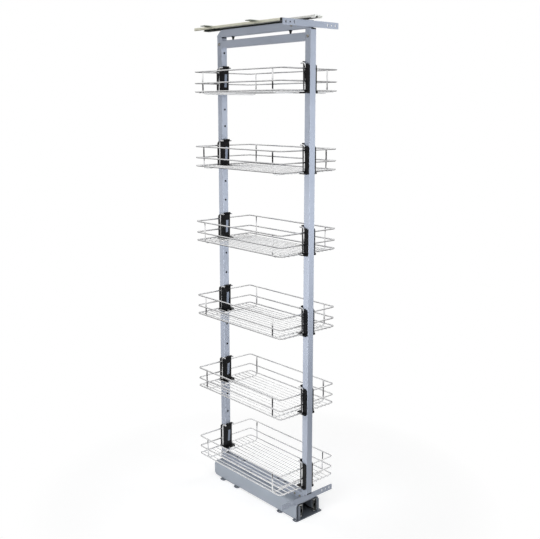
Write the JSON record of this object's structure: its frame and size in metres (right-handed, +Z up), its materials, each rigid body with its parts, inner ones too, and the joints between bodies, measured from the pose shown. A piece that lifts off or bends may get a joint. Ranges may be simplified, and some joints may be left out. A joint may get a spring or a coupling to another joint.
{
  "type": "pull out pantry frame",
  "caption": "Tall pull-out pantry frame on ball-bearing floor slides, with a guide slide at the top, door brackets and wire baskets hung on black clips.",
  "frame": {"origin": "on the floor under the middle of the frame, at the underside of the floor channel", "axes": "+Z up along the uprights, -Y out of the cabinet, +X to the right seen from the door"},
  "size_m": [0.2538, 0.624, 1.6902],
  "materials": {
    "coat": "powder coat",
    "zinc": "zinc plated",
    "dark_steel": "dark coated steel",
    "black_plastic": "moulded",
    "white_nylon": "moulded",
    "screws": "yellow zinc plated",
    "wire": "chrome plated wire"
  },
  "bodies": {
    "fixed": {"floor_channel": "coat", "left_slide_outer": "zinc", "right_slide_outer": "zinc", "top_slide_outer": "zinc", "top_slide_bumper": "black_plastic", "rear_top_plate": "zinc", "front_top_plate": "zinc"},
    "carriage": {"carrier": "coat", "runner_cover": "coat", "bottom_rail": "coat", "rail_bolts": "screws", "rail_plug": "black_plastic", "front_upright": "coat", "rear_upright": "coat", "upright_plugs": "black_plastic", "crossbar": "coat", "crossbar_screws": "screws", "upper_bar": "coat", "upper_spacer": "dark_steel", "front_knob": "black_plastic", "rear_knob": "black_plastic", "lower_door_bracket": "coat", "upper_door_bracket": "coat", "lower_bracket_screws": "screws", "upper_bracket_screws": "screws", "left_slide_inner": "zinc", "right_slide_inner": "zinc", "top_slide_inner": "dark_steel", "top_slide_stop": "black_plastic", "front_clip_1": "black_plastic", "front_clip_2": "black_plastic", "front_clip_3": "black_plastic", "front_clip_4": "black_plastic", "front_clip_5": "black_plastic", "front_clip_6": "black_plastic", "rear_clip_1": "black_plastic", "rear_clip_2": "black_plastic", "rear_clip_3": "black_plastic", "rear_clip_4": "black_plastic", "rear_clip_5": "black_plastic", "rear_clip_6": "black_plastic"},
    "left_middle": {"left_slide_middle": "zinc"},
    "right_middle": {"right_slide_middle": "zinc"},
    "left_outer_cage": {"left_outer_balls": "zinc"},
    "left_inner_cage": {"left_inner_balls": "zinc"},
    "right_outer_cage": {"right_outer_balls": "zinc"},
    "right_inner_cage": {"right_inner_balls": "zinc"},
    "top_middle": {"top_slide_middle": "zinc", "top_slide_tip": "white_nylon"},
    "top_outer_cage": {"top_outer_balls": "zinc"},
    "top_inner_cage": {"top_inner_balls": "zinc"},
    "shelf_1": {"basket_1": "wire"},
    "shelf_2": {"basket_2": "wire"},
    "shelf_3": {"basket_3": "wire"},
    "shelf_4": {"basket_4": "wire"},
    "shelf_5": {"basket_5": "wire"},
    "shelf_6": {"basket_6": "wire"}
  },
  "joints": [
    {"name": "pull_out", "type": "slide", "parent": "fixed", "child": "carriage", "axis": [0, -1, 0], "range_m": [0, 0.42]},
    {"name": "left_middle_slide", "type": "slide", "parent": "fixed", "child": "left_middle", "axis": [0, -1, 0], "range_m": [0, 0.21]},
    {"name": "right_middle_slide", "type": "slide", "parent": "fixed", "child": "right_middle", "axis": [0, -1, 0], "range_m": [0, 0.21]},
    {"name": "left_outer_cage_slide", "type": "slide", "parent": "fixed", "child": "left_outer_cage", "axis": [0, -1, 0], "range_m": [0, 0.105]},
    {"name": "left_inner_cage_slide", "type": "slide", "parent": "fixed", "child": "left_inner_cage", "axis": [0, -1, 0], "range_m": [0, 0.315]},
    {"name": "right_outer_cage_slide", "type": "slide", "parent": "fixed", "child": "right_outer_cage", "axis": [0, -1, 0], "range_m": [0, 0.105]},
    {"name": "right_inner_cage_slide", "type": "slide", "parent": "fixed", "child": "right_inner_cage", "axis": [0, -1, 0], "range_m": [0, 0.315]},
    {"name": "top_middle_slide", "type": "slide", "parent": "fixed", "child": "top_middle", "axis": [0, -1, 0], "range_m": [0, 0.168]},
    {"name": "top_outer_cage_slide", "type": "slide", "parent": "fixed", "child": "top_outer_cage", "axis": [0, -1, 0], "range_m": [0, 0.084]},
    {"name": "top_inner_cage_slide", "type": "slide", "parent": "fixed", "child": "top_inner_cage", "axis": [0, -1, 0], "range_m": [0, 0.294]},
    {"name": "basket_1_lift", "type": "slide", "parent": "carriage", "child": "shelf_1", "axis": [0, 0, 1], "range_m": [0, 0.1]},
    {"name": "basket_2_lift", "type": "slide", "parent": "carriage", "child": "shelf_2", "axis": [0, 0, 1], "range_m": [0, 0.1]},
    {"name": "basket_3_lift", "type": "slide", "parent": "carriage", "child": "shelf_3", "axis": [0, 0, 1], "range_m": [0, 0.1]},
    {"name": "basket_4_lift", "type": "slide", "parent": "carriage", "child": "shelf_4", "axis": [0, 0, 1], "range_m": [0, 0.1]},
    {"name": "basket_5_lift", "type": "slide", "parent": "carriage", "child": "shelf_5", "axis": [0, 0, 1], "range_m": [0, 0.1]},
    {"name": "basket_6_lift", "type": "slide", "parent": "carriage", "child": "shelf_6", "axis": [0, 0, 1], "range_m": [0, 0.1]}
  ],
  "couplings": [
    {"joint": "left_middle_slide", "follows": "pull_out", "ratio": 0.5},
    {"joint": "right_middle_slide", "follows": "pull_out", "ratio": 0.5},
    {"joint": "left_outer_cage_slide", "follows": "pull_out", "ratio": 0.25},
    {"joint": "left_inner_cage_slide", "follows": "pull_out", "ratio": 0.75},
    {"joint": "right_outer_cage_slide", "follows": "pull_out", "ratio": 0.25},
    {"joint": "right_inner_cage_slide", "follows": "pull_out", "ratio": 0.75},
    {"joint": "top_middle_slide", "follows": "pull_out", "ratio": 0.4},
    {"joint": "top_outer_cage_slide", "follows": "pull_out", "ratio": 0.2},
    {"joint": "top_inner_cage_slide", "follows": "pull_out", "ratio": 0.7}
  ]
}
